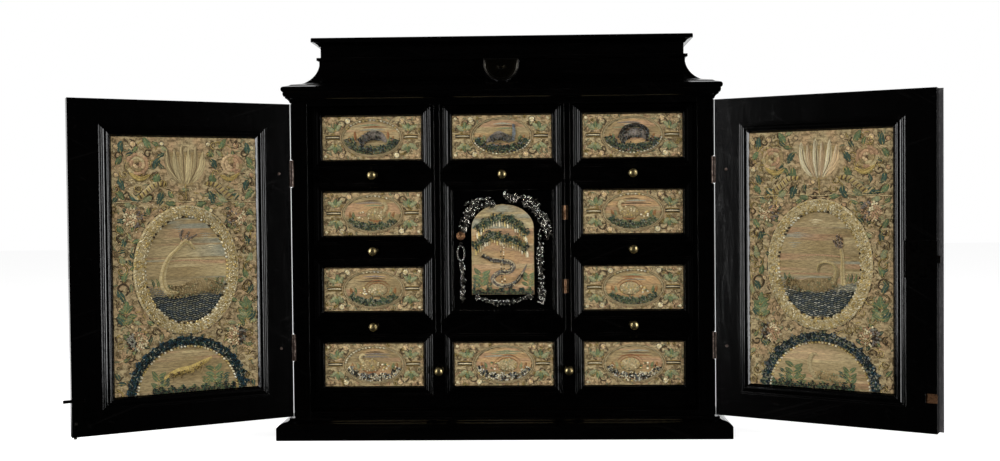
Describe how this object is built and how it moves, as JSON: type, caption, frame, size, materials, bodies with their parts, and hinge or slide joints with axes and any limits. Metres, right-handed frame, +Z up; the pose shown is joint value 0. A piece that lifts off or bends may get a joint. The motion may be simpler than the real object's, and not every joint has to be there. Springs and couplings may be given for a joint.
{
  "type": "table cabinet with doors",
  "caption": "Ebony table cabinet with open doors, eight embroidered drawers, an arched cupboard and a lift-up lid over a concave crown.",
  "frame": {"origin": "centre of the carcass on the underside of the base, where the cabinet stands", "axes": "+Z up, +X to the right as seen from the front, +Y to the back"},
  "size_m": [1.036, 0.4472, 0.5186],
  "materials": {
    "ebony": "ebony veneer, polished, dark brown to black",
    "carcass_wood": "oak boards, dark",
    "drawer_wood": "cedar drawer linings, plain",
    "embroidery": "silk ground with coloured silk and metal thread",
    "brass": "cast and turned brass, lightly tarnished",
    "iron": "wrought iron, dark brown",
    "silver": "cast silvered mounts, tarnished"
  },
  "bodies": {
    "carcass": {"back_board": "carcass_wood", "base": "ebony", "carcass_sides": "ebony", "cornice": "ebony", "crown_escutcheon": "brass", "crown_frame": "ebony", "door_hinge_fixed_leaves": "iron", "dust_boards": "carcass_wood", "floor_board": "carcass_wood", "partitions": "carcass_wood", "small_hinge_fixed_leaves": "iron", "top_board": "carcass_wood"},
    "left_door": {"left_door": "ebony", "left_door_embroidery": "embroidery", "left_door_hinge_leaves": "iron", "left_door_tongue": "iron"},
    "left_bolt": {"left_door_bolt": "iron"},
    "right_door": {"right_door": "ebony", "right_door_embroidery": "embroidery", "right_door_hinge_leaves": "iron", "right_door_lock": "iron"},
    "lock_bolt": {"right_door_lock_bolt": "iron"},
    "cupboard_door": {"cupboard_door": "ebony", "cupboard_embroidery": "embroidery", "cupboard_hinge_leaves": "brass", "cupboard_mounts": "silver"},
    "lid": {"lid": "ebony", "lid_hinge_leaves": "iron"},
    "bottom_drawer": {"bottom_drawer_box": "drawer_wood", "bottom_drawer_embroidery": "embroidery", "bottom_drawer_front": "ebony", "bottom_drawer_knob": "brass"},
    "lower_left_drawer": {"lower_left_drawer_box": "drawer_wood", "lower_left_drawer_embroidery": "embroidery", "lower_left_drawer_front": "ebony", "lower_left_drawer_knob": "brass"},
    "lower_right_drawer": {"lower_right_drawer_box": "drawer_wood", "lower_right_drawer_embroidery": "embroidery", "lower_right_drawer_front": "ebony", "lower_right_drawer_knob": "brass"},
    "middle_left_drawer": {"middle_left_drawer_box": "drawer_wood", "middle_left_drawer_embroidery": "embroidery", "middle_left_drawer_front": "ebony", "middle_left_drawer_knob": "brass"},
    "middle_right_drawer": {"middle_right_drawer_box": "drawer_wood", "middle_right_drawer_embroidery": "embroidery", "middle_right_drawer_front": "ebony", "middle_right_drawer_knob": "brass"},
    "upper_left_drawer": {"upper_left_drawer_box": "drawer_wood", "upper_left_drawer_embroidery": "embroidery", "upper_left_drawer_front": "ebony", "upper_left_drawer_knob": "brass"},
    "upper_middle_drawer": {"upper_middle_drawer_box": "drawer_wood", "upper_middle_drawer_embroidery": "embroidery", "upper_middle_drawer_front": "ebony", "upper_middle_drawer_knob": "brass"},
    "upper_right_drawer": {"upper_right_drawer_box": "drawer_wood", "upper_right_drawer_embroidery": "embroidery", "upper_right_drawer_front": "ebony", "upper_right_drawer_knob": "brass"}
  },
  "joints": [
    {"name": "left_door_hinge", "type": "hinge", "parent": "carcass", "child": "left_door", "pos_m": [-0.2703, -0.15525, 0.2292], "axis": [0, 0, -1], "range_deg": [-151.5, 28.5]},
    {"name": "right_door_hinge", "type": "hinge", "parent": "carcass", "child": "right_door", "pos_m": [0.2703, -0.15525, 0.2292], "axis": [0, 0, 1], "range_deg": [-151.5, 28.5]},
    {"name": "left_bottom_bolt", "type": "slide", "parent": "left_door", "child": "left_bolt", "axis": [0, 0, -1], "range_m": [-0.004, 0.006]},
    {"name": "right_lock_bolt", "type": "slide", "parent": "right_door", "child": "lock_bolt", "axis": [0.8788, -0.4772, 0], "range_m": [-0.003, 0.006]},
    {"name": "cupboard_hinge", "type": "hinge", "parent": "carcass", "child": "cupboard_door", "pos_m": [0.0808, -0.13865, 0.24], "axis": [0, 0, 1], "range_deg": [0, 90]},
    {"name": "lid_hinge", "type": "hinge", "parent": "carcass", "child": "lid", "pos_m": [0, 0.15725, 0.4934], "axis": [-1, 0, 0], "range_deg": [0, 95]},
    {"name": "bottom_drawer_slide", "type": "slide", "parent": "carcass", "child": "bottom_drawer", "axis": [0, -1, 0], "range_m": [0, 0.2]},
    {"name": "lower_left_drawer_slide", "type": "slide", "parent": "carcass", "child": "lower_left_drawer", "axis": [0, -1, 0], "range_m": [0, 0.2]},
    {"name": "lower_right_drawer_slide", "type": "slide", "parent": "carcass", "child": "lower_right_drawer", "axis": [0, -1, 0], "range_m": [0, 0.2]},
    {"name": "middle_left_drawer_slide", "type": "slide", "parent": "carcass", "child": "middle_left_drawer", "axis": [0, -1, 0], "range_m": [0, 0.2]},
    {"name": "middle_right_drawer_slide", "type": "slide", "parent": "carcass", "child": "middle_right_drawer", "axis": [0, -1, 0], "range_m": [0, 0.2]},
    {"name": "upper_left_drawer_slide", "type": "slide", "parent": "carcass", "child": "upper_left_drawer", "axis": [0, -1, 0], "range_m": [0, 0.2]},
    {"name": "upper_middle_drawer_slide", "type": "slide", "parent": "carcass", "child": "upper_middle_drawer", "axis": [0, -1, 0], "range_m": [0, 0.2]},
    {"name": "upper_right_drawer_slide", "type": "slide", "parent": "carcass", "child": "upper_right_drawer", "axis": [0, -1, 0], "range_m": [0, 0.2]}
  ]
}
